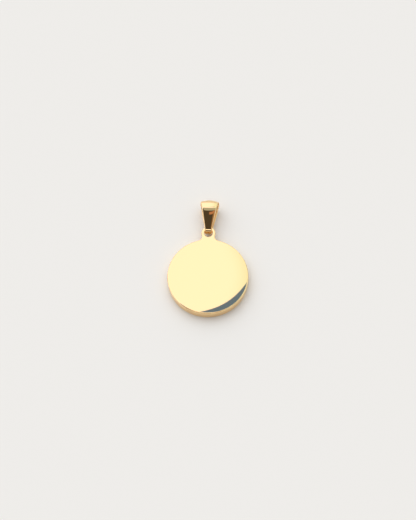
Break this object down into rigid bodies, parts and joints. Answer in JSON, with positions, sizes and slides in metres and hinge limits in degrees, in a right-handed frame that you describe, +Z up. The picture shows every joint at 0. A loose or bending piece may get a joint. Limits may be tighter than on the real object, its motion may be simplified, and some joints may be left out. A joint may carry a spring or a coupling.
{
  "type": "disc charm",
  "caption": "Mirror-polished gold-plated disc pendant with an eyelet and a swinging tapered bail, lying on its back.",
  "frame": {"origin": "middle of the charm's footprint, on the surface that it lies on", "axes": "+Y runs from the disc's centre towards the bail, +Z is up out of the polished front face, and +X is to the right as seen from the front with the bail at the top"},
  "size_m": [0.018, 0.0272, 0.0046],
  "materials": {
    "gold_plate": "mirror-polished gold plate over stainless steel"
  },
  "bodies": {
    "disc": {"disc": "gold_plate"},
    "bail": {"bail": "gold_plate"}
  },
  "joints": [
    {"name": "bail_swing", "type": "hinge", "parent": "disc", "child": "bail", "pos_m": [0, 0.00706, 0.0016], "axis": [0.9993, -0.0384, 0], "range_deg": [-60, 80]}
  ]
}
